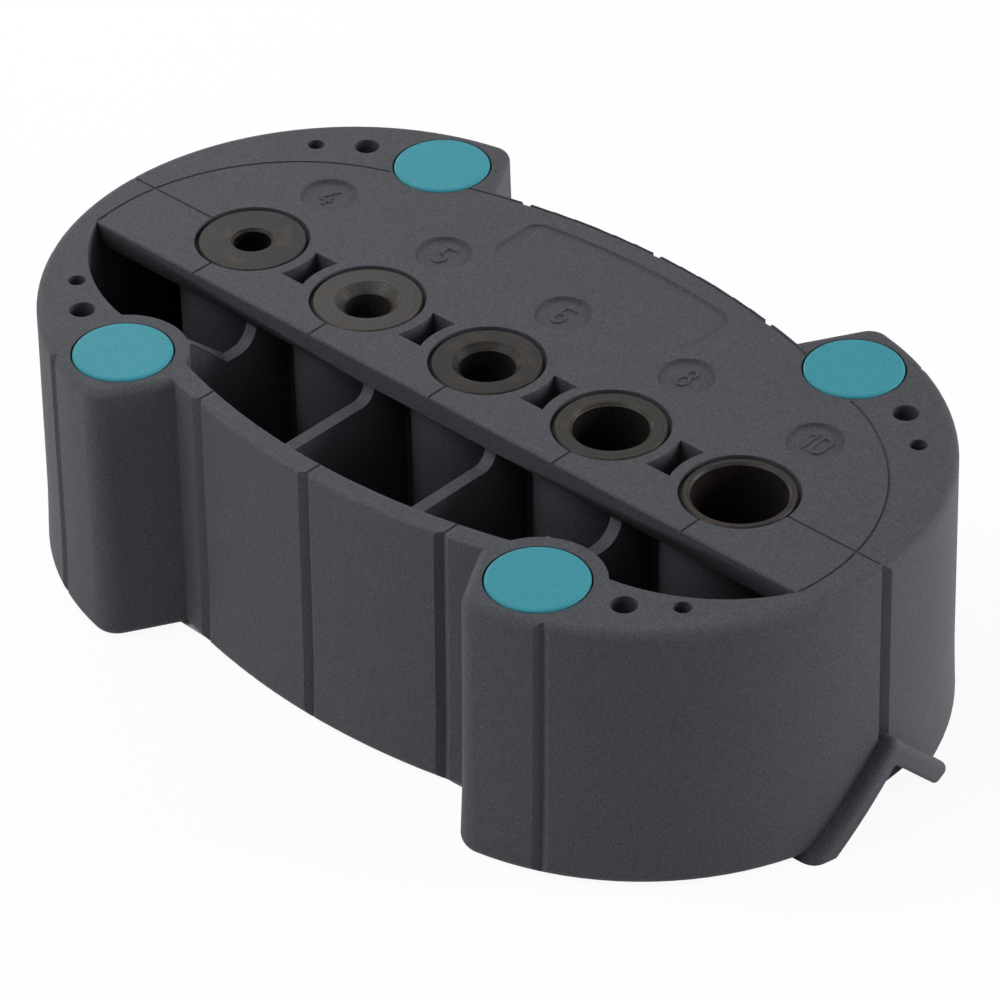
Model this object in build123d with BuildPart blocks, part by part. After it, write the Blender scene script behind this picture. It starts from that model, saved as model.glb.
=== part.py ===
"""Hand-held drill guide: a moulded housing with five steel drill bushes and four centring pins.

Frame: millimetres, +Z up, origin at the centre of the base plane, X along the row of bushes.
"""

from build123d import *

import os
from math import atan, cos, degrees, radians, sin, sqrt, tan

os.makedirs("parts", exist_ok=True)

# Outer wall of the housing: a bowed middle, and a round end at each side with two towers and flanks.
HEIGHT = 31.7
LENS_NEAR = 27.4
LENS_FAR = 27.15
LENS_R = 83.0
LENS_CUT = 26.0
END_CENTRE = 21.6
END_R = 32.6
FLANK_ANGLE = 30.0
FLANK_AT = (23.48, 27.35)
TIP_R = 2.3
END_RIM_R = 1.0
LENS_RIM_R = 0.22
BASE_EDGE_R = 1.4

# The wall leans out towards the base, gently above the skirt and more strongly below it.
SKIRT = 7.7
SKIRT_LEAN = 0.42
BASE_LEAN = 0.78

# The row of bushes, by drill size, and the tubes that hold them.
SIZES = (4, 5, 6, 8, 10)
PITCH = 17.5
BUSH_R = 6.0
BUSH_FOOT = 9.6
BUSH_TOP = HEIGHT - 0.12
BUSH_EDGE = 0.2
DRILL_CLEARANCE = 0.05
LEAD_IN_R = {4: 2.35, 5: 3.55, 6: 3.8, 8: 4.45, 10: 5.3}
MOUTH_R = 6.34
MOUTH_DEPTH = 0.8
RELIEF_R = 5.4
TUBE_R = 8.2
TUBE_FOOT = 2.0

# The square windows between neighbouring bushes, and the block that closes the gap round each.
WINDOW_HALF = 2.7
WINDOW_RING = 7.6
WINDOW_FLOOR = 12.4
BLOCK = (3.8, 8.8)

# The hollow under the deck, and the pocket that opens it upwards along the near side.
DECK = 2.2
CAVITY_R = 80.65
CAVITY_Y = 24.95
CAVITY_END = (31.2, 1.8)
CAVITY_END_R = 21.8
CAVITY_X = 51.2
DECK_EDGE = 9.46
POCKET_RIM_R = 0.25
RIB = 1.5
RIB_FOOT = 0.8
RIB_TOP = HEIGHT - 4.2
RIB_REACH = 25.4
RIB_BLEND = 2.0
RIB_RISE = 14.25

# The corner towers, the centring pins that slide in them, and the nail holes in the end rims.
TOWER = (29.72, 24.44)
TOWER_R = 7.05
PIN_TRAVEL = 12.0
PIN_TOP = HEIGHT + 0.2
PIN_HEAD_R = 5.35
PIN_HEAD = 3.0
PIN_EDGE = 0.35
PIN_SHANK_R = 3.95
PIN_FOOT = 0.25
PIN_TIP = 0.6
HEAD_BORE_R = 5.54
SHANK_BORE_R = 4.0
STOP_GAP = 0.2
NAIL_HOLES = ((43.35, 18.3, 0.95), (38.8, 21.8, 1.4))

# The ninety-degree groove under the body, and the chevron lips that carry it past the end walls.
VEE = 7.7
VEE_WALL = 2.4
VEE_CREST_R = 0.5
LIP_X = 56.4
LIP_Y = 11.3
LIP_FRONT_R = 38.0
LIP_CORNER_R = 2.2
LIP_EDGE_R = 0.9
LIP_INNER_R = 0.4

# Alignment grooves down the outer wall, and the marks sunk in the deck.
GROOVE_WIDTH = 1.7
GROOVE_DEPTH = 0.65
MARK_WIDTH = 0.3
MARK_DEPTH = 0.16
BADGE_Y = 11.85
BADGE_R = 3.2
BADGE_DEPTH = 0.38
BADGE_SLOPE = 25.0
PANEL_DEPTH = 0.22
PANEL_X = 14.3
PANEL_Y = (15.3, 24.2)
PANEL_CORNER_R = 2.0
WITNESS_CENTRE = (25.42, -4.26)
WITNESS_R = 25.2
WITNESS_SPAN = (-11.3, 72.0)
RIM_WIDTH = 2.4
RIM_LINE = 0.42
RIM_LINE_X = 25.0

END_POINT = Vector(END_CENTRE, 0)
UPPER_SLOPE = degrees(atan(SKIRT_LEAN / (HEIGHT - SKIRT)))
LOWER_SLOPE = degrees(atan((BASE_LEAN - SKIRT_LEAN) / SKIRT))
BUSH_X = [PITCH * (place - 2) for place in range(len(SIZES))]
RIB_X = [PITCH * (place - 1.5) for place in range(len(SIZES) - 1)]


def arc_middle(start, end, centre):
    """The point halfway along the shorter arc from start to end about a centre."""
    return centre + ((start + end) * 0.5 - centre).normalized() * (start - centre).length


def end_outline(height, lean):
    """One end seen from above: the round wall, and flanks that run back to meet on the middle line.

    The wall is moved out by lean, and the two towers are rounded at the tip.
    """
    tilt = radians(FLANK_ANGLE)
    along = Vector(sin(tilt), cos(tilt))
    start = Vector(*FLANK_AT) + Vector(-cos(tilt), sin(tilt)) * lean
    gap = start - END_POINT
    run = gap.dot(along)
    tip = start + along * (sqrt(run * run - gap.dot(gap) + (END_R + lean) ** 2) - run)
    end = END_POINT + Vector(END_R + lean, 0)
    with BuildSketch(Plane.XY.offset(height)) as outline:
        with BuildLine():
            ThreePointArc(end, arc_middle(tip, end, END_POINT), tip)
            Line(tip, start - along * (start.Y / along.Y))
            mirror(about=Plane.XZ)
        make_face()
        fillet([v for v in outline.vertices() if abs(abs(v.Y) - tip.Y) < 0.01], TIP_R + lean)
    return outline.sketch


def lens_wall(x, side, lean=0.0):
    """A place on the far (1) or near (-1) bowed wall, moved out by lean, and the way out there."""
    centre = Vector(0, LENS_FAR - LENS_R) if side > 0 else Vector(0, LENS_R - LENS_NEAR)
    radius = LENS_R + lean
    out = Vector(x, side * sqrt(radius * radius - x * x))
    return centre + out, out.normalized()


def lens_outline(height, lean):
    """The bowed middle seen from above: two long arcs, cut off square inside the ends."""
    with BuildSketch(Plane.XY.offset(height)) as outline:
        with BuildLine():
            far = [lens_wall(x, 1, lean)[0] for x in (LENS_CUT, 0, -LENS_CUT)]
            near = [lens_wall(x, -1, lean)[0] for x in (-LENS_CUT, 0, LENS_CUT)]
            ThreePointArc(*far)
            Line(far[2], near[0])
            ThreePointArc(*near)
            Line(near[2], far[0])
        make_face()
    return outline.sketch


def four_corners(x, y):
    """A place and its mirror images in the other three corners."""
    return [(side * x, end * y) for side in (-1, 1) for end in (-1, 1)]


def cavity_plan(height):
    """The hollow seen from above: bowed sides and round ends, with a notch round each tower."""
    end_x, end_y = CAVITY_END
    with BuildSketch(Plane.XY.offset(height)) as plan:
        with Locations((0, CAVITY_Y - CAVITY_R)):
            Circle(CAVITY_R)
        with Locations((0, CAVITY_R - CAVITY_Y)):
            Circle(CAVITY_R, mode=Mode.INTERSECT)
        for side in (-1, 1):
            with BuildSketch(mode=Mode.PRIVATE) as end:
                with Locations((side * end_x, end_y)):
                    Circle(CAVITY_END_R)
                with Locations((side * end_x, -end_y)):
                    Circle(CAVITY_END_R, mode=Mode.INTERSECT)
            add(end.sketch)
        Rectangle(2 * CAVITY_X, 4 * CAVITY_Y, mode=Mode.INTERSECT)
        with Locations(*four_corners(*TOWER)):
            Circle(TOWER_R, mode=Mode.SUBTRACT)
    return plan.sketch


def wall_points(lean):
    """Places of the alignment grooves round the right half of the wall, with the ways out there."""
    found = [lens_wall(x, side, lean) for x in (0, PITCH) for side in (-1, 1)]
    radius = END_R + lean
    for x in (2 * PITCH - END_CENTRE, radius):
        for side in (-1, 1):
            out = Vector(x, side * sqrt(radius * radius - x * x))
            found.append((END_POINT + out, out.normalized()))
    return found


def rise(start, end, height):
    """The vector from one wall place to the place of the same groove at another height."""
    return Vector(end.X - start.X, end.Y - start.Y, height)


# Long cutters for the alignment grooves, one vee for each, following the lean of the wall.
with BuildPart() as grooves:
    reach = 2.0
    spread = GROOVE_WIDTH / 2 * (GROOVE_DEPTH + reach) / GROOVE_DEPTH
    places = zip(wall_points(0), wall_points(SKIRT_LEAN), wall_points(BASE_LEAN))
    for (top, out), (middle, out), (base, out) in places:
        tip = middle - out * GROOVE_DEPTH
        side = Vector(-out.Y, out.X) * spread
        with BuildSketch(Plane.XY.offset(SKIRT)) as vee:
            with BuildLine():
                Polyline(tip, middle + out * reach + side, middle + out * reach - side, close=True)
            make_face()
        upward = rise(middle, top, HEIGHT - SKIRT)
        extrude(vee.sketch, amount=upward.length * 1.1, dir=upward.normalized())
        downward = rise(middle, base, -SKIRT)
        extrude(vee.sketch, amount=downward.length * 1.1, dir=downward.normalized())
    mirror(about=Plane.YZ)

# One round end, with a soft rim and a rounded base edge.
with BuildPart() as end_body:
    shoulder = end_outline(SKIRT, SKIRT_LEAN)
    extrude(shoulder, amount=HEIGHT - SKIRT, dir=(0, 0, 1), taper=UPPER_SLOPE)
    extrude(shoulder, amount=SKIRT, dir=(0, 0, -1), taper=-LOWER_SLOPE)
    fillet(end_body.faces().sort_by(Axis.Z)[-1].edges(), END_RIM_R)
    fillet(end_body.faces().sort_by(Axis.Z)[0].edges(), BASE_EDGE_R)

# The bowed middle, with a crisp rim.
with BuildPart() as lens_body:
    shoulder = lens_outline(SKIRT, SKIRT_LEAN)
    extrude(shoulder, amount=HEIGHT - SKIRT, dir=(0, 0, 1), taper=UPPER_SLOPE)
    extrude(shoulder, amount=SKIRT, dir=(0, 0, -1), taper=-LOWER_SLOPE)
    fillet(lens_body.faces().sort_by(Axis.Z)[-1].edges().filter_by(GeomType.CIRCLE), LENS_RIM_R)
    fillet(lens_body.faces().sort_by(Axis.Z)[0].edges().filter_by(GeomType.CIRCLE), BASE_EDGE_R)

# Ribs across the hollow, scooped down towards the near wall so that the pocket runs on. The outer two
# rise again to the rim beside their tower.
with BuildPart() as ribs:
    deck_floor = HEIGHT - DECK
    scoop = DECK_EDGE + RIB_BLEND
    climb = HEIGHT - RIB_TOP
    for place, x in enumerate(RIB_X):
        outermost = place in (0, len(RIB_X) - 1)
        low = RIB_RISE if outermost else RIB_REACH
        with BuildSketch(Plane.YZ.offset(x)):
            with BuildLine():
                Polyline((-DECK_EDGE, deck_floor), (RIB_REACH, deck_floor), (RIB_REACH, RIB_FOOT))
                Polyline((RIB_REACH, RIB_FOOT), (-RIB_REACH, RIB_FOOT))
                if outermost:
                    Polyline((-RIB_REACH, RIB_FOOT), (-RIB_REACH, HEIGHT), (-low - climb, HEIGHT))
                    RadiusArc((-low - climb, HEIGHT), (-low, RIB_TOP), climb)
                else:
                    Line((-RIB_REACH, RIB_FOOT), (-RIB_REACH, RIB_TOP))
                Line((-low, RIB_TOP), (-scoop, RIB_TOP))
                TangentArc((-scoop, RIB_TOP), (-DECK_EDGE, deck_floor), tangent=(1, 0))
            make_face()
        extrude(amount=RIB / 2, both=True)

# The long ninety-degree groove under the body, as a cutter with a rounded crest.
with BuildPart() as vee_cutter:
    with BuildSketch(Plane.YZ) as vee:
        with BuildLine():
            Polyline((-VEE - 1, -1), (VEE + 1, -1), (0, VEE), close=True)
        make_face()
        fillet(vee.vertices().sort_by(Axis.Y)[-1], VEE_CREST_R)
    extrude(amount=LIP_X + 1, both=True)

# The roof of that groove, which stands out past both end walls as a chevron lip with a bowed front.
with BuildPart() as roof:
    crest = VEE + 2 * VEE_WALL * sin(radians(45))
    with BuildSketch(Plane.YZ):
        with BuildLine():
            Polyline((-crest, 0), (0, crest), (crest, 0), close=True)
        make_face()
    extrude(amount=LIP_X + 1, both=True)
    front = LIP_X - LIP_FRONT_R + sqrt(LIP_FRONT_R * LIP_FRONT_R - LIP_Y * LIP_Y)
    with BuildSketch(Plane.XY) as plan:
        with BuildLine():
            ThreePointArc((front, -LIP_Y), (LIP_X, 0), (front, LIP_Y))
            Line((front, LIP_Y), (-front, LIP_Y))
            ThreePointArc((-front, LIP_Y), (-LIP_X, 0), (-front, -LIP_Y))
            Line((-front, -LIP_Y), (front, -LIP_Y))
        make_face()
        fillet(plan.vertices(), LIP_CORNER_R)
    extrude(amount=crest, mode=Mode.INTERSECT)
    ridge = roof.edges().filter_by(Axis.X).sort_by(Axis.Z)[-1]
    sloping = roof.edges().filter_by(Axis.Z, reverse=True).filter_by_position(Axis.Z, 0.05, crest - 0.05)
    fillet([ridge] + sloping, LIP_EDGE_R)
    add(vee_cutter.part, mode=Mode.SUBTRACT)
    fillet(roof.edges().filter_by(GeomType.ELLIPSE), LIP_INNER_R)

with BuildPart() as housing:
    # Outer form: the ends and the middle, with the alignment grooves down their walls.
    add(end_body.part)
    mirror(about=Plane.YZ)
    add(lens_body.part)
    add(grooves.part, mode=Mode.SUBTRACT)

    # The hollow, open at the base, and the pocket along the near side, open through the deck.
    extrude(cavity_plan(0), amount=HEIGHT - DECK, mode=Mode.SUBTRACT)
    with BuildSketch(Plane.XY):
        add(cavity_plan(0))
        with Locations((0, -DECK_EDGE)):
            Rectangle(4 * CAVITY_X, 4 * CAVITY_Y, align=(Align.CENTER, Align.MAX), mode=Mode.INTERSECT)
    extrude(amount=HEIGHT + 1, mode=Mode.SUBTRACT)
    pocket_rim = housing.faces().sort_by(Axis.Z)[-1].inner_wires().edges()
    fillet(pocket_rim.filter_by(GeomType.LINE), POCKET_RIM_R)

    # Tubes for the bushes, with a block between neighbours to take the window.
    with BuildSketch(Plane.XY.offset(TUBE_FOOT)):
        with Locations(*[(x, 0) for x in BUSH_X]):
            Circle(TUBE_R)
        with Locations(*[(x, 0) for x in RIB_X]):
            Rectangle(*BLOCK)
    extrude(amount=HEIGHT - DECK - TUBE_FOOT)

    # Ribs across the hollow, and the long groove with its roof.
    add(ribs.part)
    add(vee_cutter.part, mode=Mode.SUBTRACT)
    add(roof.part)

    # Seats for the bushes, with a relief under each and a wider step at the mouth.
    with BuildSketch(Plane.XY.offset(BUSH_FOOT)):
        with Locations(*[(x, 0) for x in BUSH_X]):
            Circle(BUSH_R)
    extrude(amount=HEIGHT, mode=Mode.SUBTRACT)
    with BuildSketch(Plane.XY):
        with Locations(*[(x, 0) for x in BUSH_X]):
            Circle(RELIEF_R)
    extrude(amount=BUSH_FOOT, mode=Mode.SUBTRACT)
    with BuildSketch(Plane.XY.offset(HEIGHT)):
        with Locations(*[(x, 0) for x in BUSH_X]):
            Circle(MOUTH_R)
    extrude(amount=-MOUTH_DEPTH, mode=Mode.SUBTRACT)

    # Square windows between the bushes, with sides that follow the rings round them.
    with BuildSketch(Plane.XY.offset(WINDOW_FLOOR)):
        with Locations(*[(x, 0) for x in RIB_X]):
            Rectangle(PITCH, 2 * WINDOW_HALF)
        with Locations(*[(x, 0) for x in BUSH_X]):
            Circle(WINDOW_RING, mode=Mode.SUBTRACT)
        Rectangle(2 * RIB_X[-1] + PITCH / 2, 2 * WINDOW_HALF, mode=Mode.INTERSECT)
    extrude(amount=HEIGHT, mode=Mode.SUBTRACT)

    # Stepped bores for the centring pins, and the nail holes.
    with BuildSketch(Plane.XY):
        with Locations(*four_corners(*TOWER)):
            Circle(SHANK_BORE_R)
        for x, y, radius in NAIL_HOLES:
            with Locations(*four_corners(x, y)):
                Circle(radius)
    extrude(amount=HEIGHT + 1, mode=Mode.SUBTRACT)
    with BuildSketch(Plane.XY.offset(HEIGHT - PIN_HEAD - PIN_TRAVEL - STOP_GAP)):
        with Locations(*four_corners(*TOWER)):
            Circle(HEAD_BORE_R)
    extrude(amount=HEIGHT, mode=Mode.SUBTRACT)

    # Sunk round badges and the sunk name panel, with sloped edges. The panel follows the far wall.
    slope = tan(radians(BADGE_SLOPE))
    with BuildSketch(Plane.XY.offset(HEIGHT - BADGE_DEPTH)):
        with Locations(*[(x, BADGE_Y) for x in BUSH_X]):
            Circle(BADGE_R - BADGE_DEPTH * slope)
    extrude(amount=BADGE_DEPTH, taper=-BADGE_SLOPE, mode=Mode.SUBTRACT)
    with BuildSketch(Plane.XY.offset(HEIGHT - PANEL_DEPTH)) as panel:
        with Locations((0, PANEL_Y[1] - LENS_R)):
            Circle(LENS_R)
        with Locations((0, PANEL_Y[0])):
            Rectangle(2 * PANEL_X, LENS_FAR, align=(Align.CENTER, Align.MIN), mode=Mode.INTERSECT)
        fillet(panel.vertices(), PANEL_CORNER_R)
    extrude(amount=PANEL_DEPTH, taper=-BADGE_SLOPE, mode=Mode.SUBTRACT)

    # Fine marks in the deck: the witness arc at each end, the centre line, a tick at each bush, a line over
    # the near rim at each groove, and the line that runs along the far rim from tower to tower.
    with BuildSketch(Plane.XY.offset(HEIGHT)):
        with BuildLine():
            first, last = WITNESS_SPAN
            CenterArc(WITNESS_CENTRE, WITNESS_R, first, last - first)
            Line((BUSH_X[-1] + MOUTH_R - 0.2, 0), (END_CENTRE + END_R - END_RIM_R, 0))
            mirror(about=Plane.YZ)
            for x in BUSH_X:
                Line((x, -MOUTH_R + 0.2), (x, -DECK_EDGE))
            for x in BUSH_X[1:-1]:
                Line(lens_wall(x, -1)[0], lens_wall(x, -1, -RIM_WIDTH)[0])
            ThreePointArc(*[lens_wall(x, 1, -RIM_LINE)[0] for x in (-RIM_LINE_X, 0, RIM_LINE_X)])
        trace(line_width=MARK_WIDTH)
    extrude(amount=-MARK_DEPTH, mode=Mode.SUBTRACT)

housing.part.label = "housing"
export_step(housing.part, "parts/housing.step")

# The bushes: plain steel sleeves, each with a conical lead-in round its bore.
for x, size in zip(BUSH_X, SIZES):
    bore = size / 2 + DRILL_CLEARANCE
    lead_in = LEAD_IN_R[size]
    with BuildPart() as bush:
        with BuildSketch(Plane((x, 0, 0), x_dir=(1, 0, 0), z_dir=(0, -1, 0))):
            with BuildLine():
                Polyline((bore, BUSH_FOOT), (BUSH_R - BUSH_EDGE, BUSH_FOOT), (BUSH_R, BUSH_FOOT + BUSH_EDGE))
                Polyline((BUSH_R, BUSH_FOOT + BUSH_EDGE), (BUSH_R, BUSH_TOP - BUSH_EDGE))
                Polyline((BUSH_R, BUSH_TOP - BUSH_EDGE), (BUSH_R - BUSH_EDGE, BUSH_TOP), (lead_in, BUSH_TOP))
                Polyline((lead_in, BUSH_TOP), (bore, BUSH_TOP - lead_in + bore), (bore, BUSH_FOOT))
            make_face()
        revolve(axis=Axis((x, 0, 0), (0, 0, 1)))
    name = f"bush_{size}"
    bush.part.label = name
    export_step(bush.part, f"parts/{name}.step")

# The centring pins: a shank that slides in the tower, under a round head with a softened rim.
for row, side_y in (("front", -1), ("back", 1)):
    for side, side_x in (("left", -1), ("right", 1)):
        x, y = side_x * TOWER[0], side_y * TOWER[1]
        neck = HEIGHT - PIN_HEAD
        with BuildPart() as pin:
            with BuildSketch(Plane((x, y, 0), x_dir=(1, 0, 0), z_dir=(0, -1, 0))):
                with BuildLine():
                    Polyline((0, PIN_TOP), (0, PIN_FOOT), (PIN_SHANK_R - PIN_TIP, PIN_FOOT))
                    Line((PIN_SHANK_R - PIN_TIP, PIN_FOOT), (PIN_SHANK_R, PIN_FOOT + PIN_TIP))
                    Polyline((PIN_SHANK_R, PIN_FOOT + PIN_TIP), (PIN_SHANK_R, neck), (PIN_HEAD_R, neck))
                    Polyline((PIN_HEAD_R, neck), (PIN_HEAD_R, PIN_TOP), (0, PIN_TOP))
                make_face()
            revolve(axis=Axis((x, y, 0), (0, 0, 1)))
            fillet(pin.edges().sort_by(Axis.Z)[-1], PIN_EDGE)
        name = f"pin_{row}_{side}"
        pin.part.label = name
        export_step(pin.part, f"parts/{name}.step")
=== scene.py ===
"""Looks for a hand-held drill guide: spark-textured housing, oxide-black bushes, satin centring pins.

Values are in millimetres, and become metres where a mesh, a place or a pattern's scale is made.
"""

from math import cos, pi, radians, sin

import bmesh
import bpy
import numpy as np
from mathutils import Matrix, Vector


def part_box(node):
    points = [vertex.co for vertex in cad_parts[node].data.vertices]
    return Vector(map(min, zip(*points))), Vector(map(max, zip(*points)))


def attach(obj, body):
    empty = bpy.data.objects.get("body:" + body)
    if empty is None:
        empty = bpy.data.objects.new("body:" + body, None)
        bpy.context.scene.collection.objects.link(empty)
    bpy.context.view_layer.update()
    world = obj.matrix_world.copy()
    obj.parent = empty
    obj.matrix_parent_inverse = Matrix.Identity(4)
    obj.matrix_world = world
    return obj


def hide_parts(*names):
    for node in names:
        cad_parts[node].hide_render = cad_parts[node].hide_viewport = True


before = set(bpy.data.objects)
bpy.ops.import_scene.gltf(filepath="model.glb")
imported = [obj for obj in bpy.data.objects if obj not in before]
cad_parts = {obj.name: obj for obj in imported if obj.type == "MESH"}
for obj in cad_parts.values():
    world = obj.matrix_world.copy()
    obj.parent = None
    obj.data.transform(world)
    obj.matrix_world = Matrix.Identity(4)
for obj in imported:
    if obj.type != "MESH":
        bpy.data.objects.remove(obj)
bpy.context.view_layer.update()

MM = 0.001
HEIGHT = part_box("housing")[1].z / MM

# Where the photograph was taken from, found by fitting the row of bushes and the pins.
AIM = Vector((20.1, -15.0, HEIGHT))
DISTANCE = 500.2
AZIMUTH, ELEVATION, ROLL = 43.18, 36.27, -0.84
LENS = 178.35
SHIFT = (-0.031, -0.001)

# The row of bushes along X, and the badges beside them.
BUSH_X = {4: -35.0, 5: -17.5, 6: 0.0, 8: 17.5, 10: 35.0}
BADGE_Y = 11.85
BADGE_DEPTH = 0.38

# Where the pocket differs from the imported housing, as pairs of Y and of height from the top. A packed outer
# rib climbs to its tower on a convex round, and one in the photograph on a straight ramp.
OUTER_RIB = (25.5, 27.0)
INNER_RIB = (7.9, 9.6)
ROUND_R = 4.2
ROUND_FOOT = (-14.25, -4.2)
RAMP_OUTSIDE = ((-18.25, 0.0), (-12.6, -4.95))
RAMP_INSIDE = ((-18.6, 0.0), (-13.45, -4.95))
CURVE_FOOT = (-11.46, -4.2)
CURVE_FOOT_SHOWN = (-11.8, -5.0)
# The foot of the deck's near face, from which the ribs' curves spring. It stands further back and lower in
# the photograph. Its top edge is rounded, and the top is stretched to meet it from as far back as the reach.
DECK_FOOT = (-9.46, -2.2)
DECK_FOOT_SHOWN = (-8.96, -2.65)
DECK_EDGE_R = 0.25
TOP_REACH = -7.2
# How far out the pocket ends, and its end walls, round which the face's ends slide: from how far out, the
# radius and the centre's Y.
POCKET_HALF = 51.2
END_WALL = (49.0, 21.8, 1.8)
# How near a vertex has to be to such a line, how far a crown's normals may lean along X, how wide its
# triangles are, and the decimals of a millimetre to which places are merged.
SLACK = 0.02
LEVEL_NORMAL = 0.3
CROWN_WIDTH = 0.1
MERGE_DIGITS = 4

# The size digits, raised strokes with round ends.
DIGIT_HALF_HEIGHT = 1.65
DIGIT_HALF_WIDTH = 0.84
STROKE_HALF_WIDTH = 0.17
STROKE_RISE = 0.2
STROKE_SINK = 0.06
STROKE_SQUARENESS = 2.6
STROKE_COLUMNS = 20
STROKE_END_ROWS = 7
ARC_POINTS = 22

# Sizes of the plastic's patterns. The real spark texture is near 0.05, too fine for the render to show.
SPARK_GRAIN = 0.2
CLOUD = 7.0
TINT_PATCH = 2.6
DUST_CELL = 1.0
SCRATCH_LENGTH = 9.0
SCRATCH_GAP = 0.35
# How far the mould rounds the plastic's sharpest edges.
EDGE_BREAK = 0.06
# Sizes of the bushes' patterns: the turning tool's feed, drawn coarse, and blotches of the oxide bath.
TURNED_RING = 0.16
OXIDE_BLOTCH = 2.2
STEEL_GRAIN = 0.2
# Sizes of the pins' patterns.
PIN_GRAIN = 0.16
PIN_CLOUD = 3.0

# Oxide shades, with painted shade and light: one black oxide, each bush's base set darker or lighter for how
# the light falls on that bush.
OXIDE_WITH_PAINTED_SHADE = {4: "#1f1e1c", 5: "#383735", 6: "#262523", 8: "#302f2c", 10: "#2e2b29"}

# The studio: the world's fill light, the floor's half side in metres, how white it looks, the half length
# and half width of the part's footprint, and for each softbox its azimuth from +X and its elevation in
# degrees, its distance and side in metres, and its power in watts.
WORLD_FILL = 0.15
FLOOR_HALF = 3.0
FLOOR_WHITE = 0.93
FOOTPRINT = (51.5, 25.5)
SOFTBOXES = {
    "back_right": (45, 12, 1.2, 0.7, 12.0),
    "right": (0, 12, 1.2, 0.7, 1.3),
    "left_high": (225, 60, 1.2, 0.7, 6.5),
    "left_low": (225, 12, 1.2, 0.7, 2.4),
    "near_high": (270, 60, 1.2, 0.7, 0.9),
    "left_close": (160, 25, 0.4, 0.25, 0.38),
    "near_close": (240, 25, 0.4, 0.25, 0.16),
}


def linear(hex_colour):
    """An sRGB hex colour as linear red, green and blue with an alpha of one."""
    parts = np.array([int(hex_colour[i : i + 2], 16) for i in (1, 3, 5)]) / 255
    curved = np.where(parts <= 0.04045, parts / 12.92, ((parts + 0.055) / 1.055) ** 2.4)
    return (*curved.tolist(), 1.0)


def per_metre(spacing):
    """The texture scale at which a pattern repeats about every so many millimetres."""
    return 1 / (spacing * MM)


def node(tree, kind, sockets=None, **settings):
    """Adds a shader node. Settings are its own; a socket gets a value, or a link from another's output."""
    made = tree.nodes.new("ShaderNode" + kind)
    for name, value in settings.items():
        setattr(made, name, value)
    for name, value in (sockets or {}).items():
        if isinstance(value, bpy.types.NodeSocket):
            tree.links.new(value, made.inputs[name])
        else:
            made.inputs[name].default_value = value
    return made


def new_material(name):
    """An empty node material and its tree."""
    material = bpy.data.materials.new(name)
    material.use_nodes = True
    material.node_tree.nodes.clear()
    return material, material.node_tree


def place_camera():
    """The photograph's camera: turned round the aim point by azimuth and elevation, then rolled."""
    turn, tilt = radians(AZIMUTH), radians(ELEVATION)
    back = Vector((sin(turn) * cos(tilt), -cos(turn) * cos(tilt), sin(tilt)))
    data = bpy.data.cameras.new("camera")
    data.lens = LENS
    data.sensor_width = 36
    data.shift_x, data.shift_y = SHIFT
    data.clip_start, data.clip_end = 0.05, 20
    camera = bpy.data.objects.new("camera", data)
    upright = back.to_track_quat("Z", "Y").to_matrix()
    rolled = upright @ Matrix.Rotation(radians(ROLL), 3, "Z")
    camera.matrix_world = Matrix.Translation((AIM + back * DISTANCE) * MM) @ rolled.to_4x4()
    bpy.context.scene.collection.objects.link(camera)
    bpy.context.scene.camera = camera


place_camera()


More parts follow.
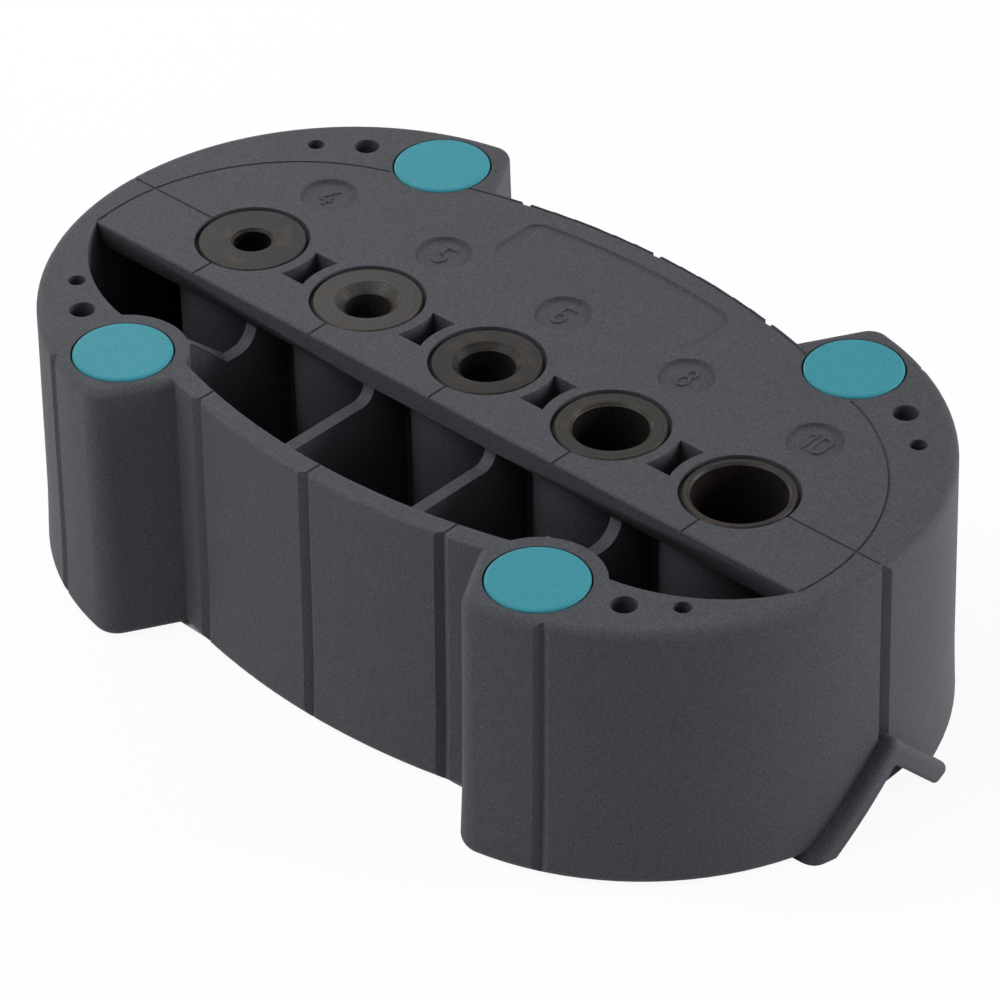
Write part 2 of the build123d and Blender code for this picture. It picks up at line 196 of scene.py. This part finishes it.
def moulded_plastic():
    """Spark-textured ABS, moulded: fine pits scatter the light, the melt leaves faint cloudy tints, and
    handling leaves a few hairline scratches and pale specks of dust."""
    material, tree = new_material("spark_textured_abs")
    place = node(tree, "TexCoord").outputs["Object"]
    cloud = node(tree, "TexNoise", {"Vector": place, "Scale": per_metre(CLOUD), "Detail": 3.0})
    cloudy = node(tree, "MapRange", {"Value": cloud.outputs["Fac"], "From Min": 0.35, "From Max": 0.65})
    slate = node(
        tree,
        "MixRGB",
        {"Fac": cloudy.outputs["Result"], "Color1": linear("#494b4f"), "Color2": linear("#4a4c52")},
    )
    tint = node(tree, "TexNoise", {"Vector": place, "Scale": per_metre(TINT_PATCH), "Detail": 1.0})
    tinted = node(
        tree,
        "MapRange",
        {"Value": tint.outputs["Fac"], "From Min": 0.56, "From Max": 0.72, "To Max": 0.5},
    )
    warmed = node(
        tree,
        "MixRGB",
        {"Fac": tinted.outputs["Result"], "Color1": slate.outputs["Color"], "Color2": linear("#4f4b52")},
    )
    grain = node(tree, "TexNoise", {"Vector": place, "Scale": per_metre(SPARK_GRAIN), "Detail": 2.0})
    speckle = node(
        tree,
        "MapRange",
        {
            "Value": grain.outputs["Fac"],
            "From Min": 0.3,
            "From Max": 0.7,
            "To Min": 0.72,
            "To Max": 1.28,
        },
    )
    grained = node(
        tree,
        "VectorMath",
        {0: warmed.outputs["Color"], "Scale": speckle.outputs["Result"]},
        operation="SCALE",
    )
    # Hairlines: noise stretched along X shows only where it peaks.
    stretched = node(
        tree,
        "Mapping",
        {
            "Vector": place,
            "Rotation": (0.0, 0.0, radians(24)),
            "Scale": (per_metre(SCRATCH_LENGTH), per_metre(SCRATCH_GAP), per_metre(SCRATCH_GAP)),
        },
    )
    hairs = node(tree, "TexNoise", {"Vector": stretched.outputs["Vector"], "Scale": 1.0, "Detail": 1.0})
    scratch = node(
        tree,
        "MapRange",
        {"Value": hairs.outputs["Fac"], "From Min": 0.74, "From Max": 0.82, "To Max": 0.35},
    )
    scuffed = node(
        tree,
        "MixRGB",
        {"Fac": scratch.outputs["Result"], "Color1": grained.outputs["Vector"], "Color2": linear("#6d7075")},
    )
    # Dust: the heart of a cell, in the few cells whose random shade is high.
    cells = node(tree, "TexVoronoi", {"Vector": place, "Scale": per_metre(DUST_CELL)})
    heart = node(tree, "Math", {0: cells.outputs["Distance"], 1: 0.07}, operation="LESS_THAN")
    few = node(tree, "Math", {0: cells.outputs["Color"], 1: 0.8}, operation="GREATER_THAN")
    dust = node(tree, "Math", {0: heart.outputs[0], 1: few.outputs[0]}, operation="MULTIPLY")
    dusty = node(
        tree,
        "MixRGB",
        {"Fac": dust.outputs[0], "Color1": scuffed.outputs["Color"], "Color2": linear("#7c8083")},
    )
    rounded = node(tree, "Bevel", {"Radius": EDGE_BREAK * MM}, samples=4)
    bump = node(
        tree,
        "Bump",
        {
            "Height": grain.outputs["Fac"],
            "Normal": rounded.outputs["Normal"],
            "Strength": 0.35,
            "Distance": 0.03 * MM,
        },
    )
    shader = node(
        tree,
        "BsdfPrincipled",
        {
            "Base Color": dusty.outputs["Color"],
            "Normal": bump.outputs["Normal"],
            "Roughness": 0.62,
            "IOR": 1.54,
            "Specular IOR Level": 0.12,
        },
    )
    node(tree, "OutputMaterial", {"Surface": shader.outputs[0]})
    return material


def black_oxide(size):
    """Steel turned on a lathe, then blackened in an oxide bath: half dull, with rings round the bore that
    catch the light, and brownish blotches where the bath took unevenly. The base is one oxide with painted
    shade and light: darker or lighter at each bush for how the light falls on it."""
    material, tree = new_material(f"black_oxide_steel_painted_shade_{size}")
    place = node(tree, "TexCoord").outputs["Object"]
    centred = node(
        tree,
        "Mapping",
        {"Vector": place, "Location": (-BUSH_X[size] * MM, 0.0, 0.0), "Scale": (1.0, 1.0, 0.0)},
    )
    radius = node(tree, "VectorMath", {0: centred.outputs["Vector"]}, operation="LENGTH")
    turned = node(
        tree,
        "TexNoise",
        {"W": radius.outputs["Value"], "Scale": per_metre(TURNED_RING), "Detail": 1.0},
        noise_dimensions="1D",
    )
    grain = node(tree, "TexNoise", {"Vector": place, "Scale": per_metre(STEEL_GRAIN), "Detail": 1.0})
    both = node(tree, "Math", {0: turned.outputs["Fac"], 1: grain.outputs["Fac"]}, operation="ADD")
    shade = node(
        tree,
        "MapRange",
        {"Value": both.outputs[0], "From Min": 0.7, "From Max": 1.3, "To Min": 0.5, "To Max": 1.5},
    )
    blotch = node(tree, "TexNoise", {"Vector": place, "Scale": per_metre(OXIDE_BLOTCH), "Detail": 2.0})
    browned = node(
        tree,
        "MapRange",
        {"Value": blotch.outputs["Fac"], "From Min": 0.5, "From Max": 0.7, "To Max": 0.6},
    )
    # The bush's base oxide shade, which carries painted shade and light for where the bush stands.
    oxide = node(
        tree,
        "MixRGB",
        {"Fac": browned.outputs["Result"], "Color1": linear(OXIDE_WITH_PAINTED_SHADE[size]), "Color2": linear("#3c322e")},
    )
    shaded = node(
        tree,
        "VectorMath",
        {0: oxide.outputs["Color"], "Scale": shade.outputs["Result"]},
        operation="SCALE",
    )
    dullness = node(
        tree,
        "MapRange",
        {"Value": both.outputs[0], "From Min": 0.7, "From Max": 1.3, "To Min": 0.28, "To Max": 0.44},
    )
    bump = node(
        tree,
        "Bump",
        {"Height": turned.outputs["Fac"], "Strength": 0.3, "Distance": 0.01 * MM},
    )
    shader = node(
        tree,
        "BsdfPrincipled",
        {
            "Base Color": shaded.outputs["Vector"],
            "Roughness": dullness.outputs["Result"],
            "Normal": bump.outputs["Normal"],
            "Metallic": 0.35,
            "Specular IOR Level": 0.15,
        },
    )
    node(tree, "OutputMaterial", {"Surface": shader.outputs[0]})
    return material


def turquoise_plastic():
    """Polypropylene, moulded in a satin cavity: even and slightly waxy, with a fine sandy grain."""
    material, tree = new_material("satin_turquoise_polypropylene")
    place = node(tree, "TexCoord").outputs["Object"]
    cloud = node(tree, "TexNoise", {"Vector": place, "Scale": per_metre(PIN_CLOUD), "Detail": 2.0})
    colour = node(
        tree,
        "MixRGB",
        {"Fac": cloud.outputs["Fac"], "Color1": linear("#3b909e"), "Color2": linear("#3f93a1")},
    )
    grain = node(tree, "TexNoise", {"Vector": place, "Scale": per_metre(PIN_GRAIN), "Detail": 2.0})
    speckle = node(
        tree,
        "MapRange",
        {"Value": grain.outputs["Fac"], "From Min": 0.3, "From Max": 0.7, "To Min": 0.88, "To Max": 1.12},
    )
    grained = node(
        tree,
        "VectorMath",
        {0: colour.outputs["Color"], "Scale": speckle.outputs["Result"]},
        operation="SCALE",
    )
    bump = node(
        tree,
        "Bump",
        {"Height": grain.outputs["Fac"], "Strength": 0.2, "Distance": 0.02 * MM},
    )
    shader = node(
        tree,
        "BsdfPrincipled",
        {
            "Base Color": grained.outputs["Vector"],
            "Normal": bump.outputs["Normal"],
            "Roughness": 0.48,
            "IOR": 1.49,
            "Specular IOR Level": 0.15,
        },
    )
    node(tree, "OutputMaterial", {"Surface": shader.outputs[0]})
    return material


def dress(name, material):
    """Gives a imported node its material."""
    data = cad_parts[name].data
    data.materials.clear()
    data.materials.append(material)


housing_plastic = moulded_plastic()
pin_plastic = turquoise_plastic()
dress("housing", housing_plastic)
for bush_size in BUSH_X:
    dress(f"bush_{bush_size}", black_oxide(bush_size))
for node_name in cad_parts:
    if node_name.startswith("pin_"):
        dress(node_name, pin_plastic)


def between(values, low, high):
    """Where values lie from low to high, give or take the slack."""
    return (values > low - SLACK) & (values < high + SLACK)


def share_of(values, start, end):
    """How far values are on the way from start to end, held between nought and one."""
    return np.clip((values - start) / (end - start), 0, 1)


def outer_ribs_ramped(places):
    """The outer ribs' crowns moved in their own planes, for places in millimetres with z from the top.

    A point of the convex round goes to the straight ramp of its side of the rib, as far along it as it was
    along the round: the angle whose cosine is one less depth over radius, over a right angle. The level
    stretch sinks, each point by its share of the way from the round's foot to the curve's. On the curve
    under the deck, y shifts by its share of the way down, and the depth below the deck's foot grows in the
    ratio of the new fall to the old.
    """
    x, y, z = places.T
    rib = between(abs(x), *OUTER_RIB) & between(y, ROUND_FOOT[0] - ROUND_R, DECK_FOOT[0])
    rib &= (z < -SLACK) & (z > ROUND_FOOT[1] - SLACK)
    outside = (abs(x) > sum(OUTER_RIB) / 2)[:, None, None]
    ramp = np.where(outside, np.array(RAMP_OUTSIDE), np.array(RAMP_INSIDE))
    head, foot = ramp[:, 0], ramp[:, 1]
    turned = np.arccos(np.clip(1 + z / ROUND_R, 0, 1)) / (pi / 2)
    on_ramp = head + (foot - head) * turned[:, None]
    along = share_of(y, ROUND_FOOT[0], CURVE_FOOT[0])[:, None]
    on_level = foot + (np.array(CURVE_FOOT_SHOWN) - foot) * along
    down = share_of(z, DECK_FOOT[1], CURVE_FOOT[1])
    growth = (CURVE_FOOT_SHOWN[1] - DECK_FOOT[1]) / (CURVE_FOOT[1] - DECK_FOOT[1])
    curve_y = y + down * (CURVE_FOOT_SHOWN[0] - CURVE_FOOT[0])
    curve_z = np.where(z > DECK_FOOT[1], z, DECK_FOOT[1] + (z - DECK_FOOT[1]) * growth)
    on_curve = np.stack([curve_y, curve_z], 1)
    near, far = (y <= ROUND_FOOT[0] + SLACK)[:, None], (y >= CURVE_FOOT[0] - SLACK)[:, None]
    shown = places.copy()
    shown[rib, 1:] = np.where(near, on_ramp, np.where(far, on_curve, on_level))[rib]
    return shown, rib


def deck_face_set_back(places):
    """The deck's near face moved back and made taller, for places in millimetres with z from the top.

    On the face, y shifts by one step and z grows in one ratio. Behind it the top shifts by a share that
    falls evenly to nothing. Along a rib's crown the shift and the drop of the face's foot fall evenly to
    nothing over the curve that springs from it. At the pocket's ends, x follows the end wall's circle.
    """
    x, y, z = places.T
    shift, drop = np.array(DECK_FOOT_SHOWN) - DECK_FOOT
    edge_y = DECK_FOOT[0] + DECK_EDGE_R
    pocket = abs(x) < POCKET_HALF
    face = pocket & between(y, DECK_FOOT[0], edge_y) & (z > DECK_FOOT[1] - SLACK)
    top = pocket & between(y, edge_y, TOP_REACH) & ~face & (z > -DECK_EDGE_R)
    ribs = between(abs(x), *OUTER_RIB) | between(abs(x), *INNER_RIB)
    crown = ribs & ~face & (y > CURVE_FOOT[0]) & (y < DECK_FOOT[0] + SLACK)
    crown &= (z < DECK_FOOT[1]) & (z > CURVE_FOOT_SHOWN[1] - SLACK)
    top_share = share_of(y, TOP_REACH, edge_y)
    crown_share = share_of(y, CURVE_FOOT[0], DECK_FOOT[0])
    shown = places.copy()
    shown[:, 1] += shift * np.select([face, top, crown], [1.0, top_share, crown_share], 0.0)
    shown[face, 2] *= DECK_FOOT_SHOWN[1] / DECK_FOOT[1]
    shown[crown, 2] += drop * crown_share[crown]
    start, radius, centre = END_WALL
    old_x = np.sqrt(np.maximum(radius**2 - (y - centre) ** 2, 0))
    new_x = np.sqrt(np.maximum(radius**2 - (shown[:, 1] - centre) ** 2, 0))
    slides = face & (abs(x) > start)
    shown[slides, 0] += (np.sign(x) * (new_x - old_x))[slides]
    return shown, crown


def read_back(values, name, dtype=float):
    """One property of a mesh's vertices or corners, as a flat array."""
    width = 3 if dtype is float else 1
    out = np.empty(len(values) * width, dtype)
    values.foreach_get(name, out)
    return out


def show_housing():
    """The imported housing, merged, with the pocket's ribs and the deck's near face as in the photograph."""
    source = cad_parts["housing"].data
    places = read_back(source.vertices, "co").reshape(-1, 3) / MM
    normals = read_back(source.corner_normals, "vector").reshape(-1, 3, 3)
    places, merged = np.unique(places.round(MERGE_DIGITS), axis=0, return_inverse=True)
    triangles = merged.reshape(-1)[read_back(source.loops, "vertex_index", int)].reshape(-1, 3)
    places[:, 2] -= HEIGHT
    shown, ramps = outer_ribs_ramped(places)
    shown, curves = deck_face_set_back(shown)

    # A crown's triangles lie across the rib. The rib's sides are flat, and keep their normals.
    legs = shown[triangles]
    facing = np.cross(legs[:, 1] - legs[:, 0], legs[:, 2] - legs[:, 0])
    level = abs(normals[:, :, 0]).max(1) < LEVEL_NORMAL
    crown = (ramps | curves)[triangles].any(1) & level & (np.ptp(abs(legs[:, :, 0]), axis=1) > CROWN_WIDTH)
    sums = np.zeros_like(shown)
    np.add.at(sums, triangles[crown].reshape(-1), np.repeat(facing[crown], 3, 0))
    smooth = sums / np.maximum(np.linalg.norm(sums, axis=1, keepdims=True), 1e-9)
    normals[crown] = smooth[triangles[crown]]

    shown[:, 2] += HEIGHT
    mesh = bpy.data.meshes.new("housing_shown")
    mesh.from_pydata((shown * MM).tolist(), [], triangles.tolist())
    mesh.polygons.foreach_set("use_smooth", np.ones(len(mesh.polygons), bool))
    mesh.normals_split_custom_set(normals.reshape(-1, 3).tolist())
    mesh.materials.append(housing_plastic)
    piece = bpy.data.objects.new("housing_shown", mesh)
    bpy.context.scene.collection.objects.link(piece)
    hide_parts("housing")
    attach(piece, "guide")


show_housing()


def arc(centre, radii, start, end):
    """Points of an elliptical arc from one angle to another, in degrees anticlockwise from +X."""
    turn = np.radians(np.linspace(start, end, ARC_POINTS))
    return np.stack([centre[0] + radii[0] * np.cos(turn), centre[1] + radii[1] * np.sin(turn)], 1)


def line(start, end):
    """Points of a straight run."""
    return np.linspace(start, end, 3)


def stroke_surface(path):
    """A raised stroke: a superellipse section carried along a path.

    Past each end of the path the section's width runs down to nothing as a circle does, and its height
    as the section's own curve does, so that the end is round from above and soft from the side.
    """
    tangent = np.gradient(path, axis=0)
    tangent /= np.linalg.norm(tangent, axis=1, keepdims=True)
    past = np.cos(np.linspace(0, pi / 2, STROKE_END_ROWS, endpoint=False)[1:])[:, None]
    lead_in = path[0] - tangent[0] * past * STROKE_HALF_WIDTH
    lead_out = path[-1] + tangent[-1] * past[::-1] * STROKE_HALF_WIDTH
    place = np.concatenate([lead_in, path, lead_out])
    before, after = np.repeat(tangent[:1], len(past), 0), np.repeat(tangent[-1:], len(past), 0)
    along = np.concatenate([before, tangent, after])
    body = np.ones((len(path), 1))
    width = np.concatenate([np.sqrt(1 - past**2), body, np.sqrt(1 - past[::-1] ** 2)])
    soft = (1 - past**STROKE_SQUARENESS) ** (1 / STROKE_SQUARENESS)
    height = np.concatenate([soft, body, soft[::-1]])

    around = np.linspace(0, 2 * pi, STROKE_COLUMNS, endpoint=False)
    across = np.sign(np.cos(around)) * np.abs(np.cos(around)) ** (2 / STROKE_SQUARENESS)
    up = np.sign(np.sin(around)) * np.abs(np.sin(around)) ** (2 / STROKE_SQUARENESS)
    up = np.where(up > 0, up * STROKE_RISE, up * STROKE_SINK)
    side = np.stack([along[:, 1], -along[:, 0]], 1)
    plan = place[:, None, :] + side[:, None, :] * (STROKE_HALF_WIDTH * width * across)[:, :, None]
    rows = np.concatenate([plan, (height * up)[:, :, None]], 2)
    tips = np.array(
        [
            [*(path[0] - tangent[0] * STROKE_HALF_WIDTH), 0.0],
            [*(path[-1] + tangent[-1] * STROKE_HALF_WIDTH), 0.0],
        ]
    )
    points = np.concatenate([rows.reshape(-1, 3), tips])

    index = np.arange(len(rows) * STROKE_COLUMNS).reshape(len(rows), STROKE_COLUMNS)
    turned = np.roll(index, -1, axis=1)
    walls = np.stack([index[:-1], turned[:-1], turned[1:], index[1:]], 2).reshape(-1, 4)
    first, last = len(points) - 2, len(points) - 1
    start_fan = np.stack([turned[0], index[0], np.full(STROKE_COLUMNS, first)], 1)
    end_fan = np.stack([index[-1], turned[-1], np.full(STROKE_COLUMNS, last)], 1)
    return points, walls, np.concatenate([start_fan, end_fan])


def digit_strokes():
    """The centre lines of each size's digits, from the badge's centre, in a plain rounded hand."""
    w, h = DIGIT_HALF_WIDTH - STROKE_HALF_WIDTH, DIGIT_HALF_HEIGHT - STROKE_HALF_WIDTH
    bowl = 0.56 * h
    eye = h - bowl
    zero_x, one_x = 0.82, -0.62
    return {
        4: [
            line((0.45 * w, h), (-w, -0.42 * h)),
            line((-w, -0.42 * h), (1.25 * w, -0.42 * h)),
            line((0.62 * w, 0.05 * h), (0.62 * w, -h)),
        ],
        5: [
            line((0.85 * w, h), (-0.75 * w, h)),
            line((-0.75 * w, h), (-0.85 * w, 0.05 * h)),
            np.concatenate(
                [
                    line((-0.85 * w, 0.05 * h), (-0.5 * w, 0.2 * h))[:-1],
                    arc((0, -h + bowl), (w, bowl), 115, -145),
                ]
            ),
        ],
        6: [
            arc((0, -h + bowl), (w, bowl), 0, 360),
            np.concatenate(
                [
                    arc((0.1 * w, h - 0.75 * eye), (1.1 * w, 0.75 * eye), 40, 180),
                    line((-w, 0.3 * h), (-w, -h + bowl)),
                ]
            ),
        ],
        8: [
            arc((0, -h + bowl), (w, bowl), 90, 450),
            arc((0, h - eye), (0.86 * w, eye), -90, 270),
        ],
        10: [
            line((one_x - 0.42, 0.66 * h), (one_x, h)),
            line((one_x, h), (one_x, -h)),
            np.concatenate(
                [
                    arc((zero_x, h - w), (w, w), 0, 180),
                    arc((zero_x, w - h), (w, w), 180, 360),
                    line((zero_x + w, w - h), (zero_x + w, h - w))[1:],
                ]
            ),
        ],
    }


def raise_digits():
    """One closed mesh of strokes for each badge, standing on the badge's floor."""
    for size, strokes in digit_strokes().items():
        points, faces, start = [], [], 0
        for path in strokes:
            stroke_points, walls, fans = stroke_surface(path)
            points.append(stroke_points)
            faces += (walls + start).tolist() + (fans + start).tolist()
            start += len(stroke_points)
        place = np.array([BUSH_X[size], BADGE_Y, HEIGHT - BADGE_DEPTH])
        mesh = bpy.data.meshes.new(f"digits_{size}")
        mesh.from_pydata(((np.concatenate(points) + place) * MM).tolist(), [], faces)
        shell = bmesh.new()
        shell.from_mesh(mesh)
        bmesh.ops.recalc_face_normals(shell, faces=shell.faces)
        shell.to_mesh(mesh)
        shell.free()
        mesh.polygons.foreach_set("use_smooth", np.ones(len(mesh.polygons), bool))
        mesh.materials.append(housing_plastic)
        piece = bpy.data.objects.new(f"digits_{size}", mesh)
        bpy.context.scene.collection.objects.link(piece)
        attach(piece, "guide")


raise_digits()


def seen_directly(tree):
    """One for the camera's own rays and for those in gloss and glass, and nought for light on its way."""
    path = node(tree, "LightPath").outputs
    seen = node(
        tree,
        "Math",
        {0: path["Is Camera Ray"], 1: path["Is Glossy Ray"]},
        operation="MAXIMUM",
    )
    either = node(
        tree,
        "Math",
        {0: seen.outputs[0], 1: path["Is Transmission Ray"]},
        operation="MAXIMUM",
    )
    return either.outputs[0]


def under_the_part(tree):
    """One inside the part's footprint and nought outside: there the scaled x to the fourth power and the
    scaled y to the fourth power add up to less than one."""
    place = node(tree, "TexCoord").outputs["Object"]
    scale = (1 / (FOOTPRINT[0] * MM), 1 / (FOOTPRINT[1] * MM), 0.0)
    scaled = node(tree, "Mapping", {"Vector": place, "Scale": scale}).outputs["Vector"]
    squares = node(tree, "VectorMath", {0: scaled, 1: scaled}, operation="MULTIPLY").outputs["Vector"]
    fourths = node(tree, "VectorMath", {0: squares, 1: squares}, operation="DOT_PRODUCT").outputs["Value"]
    return node(tree, "Math", {0: fourths, 1: 1.0}, operation="LESS_THAN").outputs[0]


def floor():
    """A wide pale floor. What looks at it sees even white with a soft trace of the shadow, and under the
    part, through its pocket and bores, plain paper in the dark."""
    corners = np.array([[-1, -1, 0], [1, -1, 0], [1, 1, 0], [-1, 1, 0]]) * FLOOR_HALF
    mesh = bpy.data.meshes.new("floor")
    mesh.from_pydata(corners.tolist(), [], [(0, 1, 2, 3)])
    made = bpy.data.objects.new("floor", mesh)
    bpy.context.scene.collection.objects.link(made)
    material, tree = new_material("pale_floor")
    paper = node(tree, "BsdfDiffuse", {"Color": (0.8, 0.8, 0.8, 1)})
    bright_paper = node(tree, "BsdfDiffuse", {"Color": (1, 1, 1, 1)})
    white = node(tree, "Emission", {"Color": (1, 1, 1, 1), "Strength": 1.0})
    looks = node(tree, "MixShader", {0: FLOOR_WHITE, 1: bright_paper.outputs[0], 2: white.outputs[0]})
    dark = node(tree, "MixShader", {0: under_the_part(tree), 1: looks.outputs[0], 2: paper.outputs[0]})
    both = node(tree, "MixShader", {0: seen_directly(tree), 1: paper.outputs[0], 2: dark.outputs[0]})
    node(tree, "OutputMaterial", {"Surface": both.outputs[0]})
    mesh.materials.append(material)


def studio():
    """An even pale world, white to what looks at it, and softboxes all round that stand low."""
    world = bpy.data.worlds.new("studio")
    bpy.context.scene.world = world
    world.use_nodes = True
    tree = world.node_tree
    tree.nodes.clear()
    fill = node(tree, "Background", {"Color": (1, 1, 1, 1), "Strength": WORLD_FILL})
    white = node(tree, "Background", {"Color": (1, 1, 1, 1), "Strength": 1.0})
    both = node(tree, "MixShader", {0: seen_directly(tree), 1: fill.outputs[0], 2: white.outputs[0]})
    node(tree, "OutputWorld", {"Surface": both.outputs[0]})
    for name, (azimuth, elevation, distance, side, power) in SOFTBOXES.items():
        turn, tilt = radians(azimuth), radians(elevation)
        away = Vector((cos(turn) * cos(tilt), sin(turn) * cos(tilt), sin(tilt)))
        data = bpy.data.lights.new(name, "AREA")
        data.size = side
        data.energy = power
        lamp = bpy.data.objects.new(name, data)
        place = Matrix.Translation(away * distance + Vector((0, 0, HEIGHT / 2 * MM)))
        lamp.matrix_world = place @ away.to_track_quat("Z", "Y").to_matrix().to_4x4()
        bpy.context.scene.collection.objects.link(lamp)


floor()
studio()

bpy.context.scene.view_settings.view_transform = "Standard"
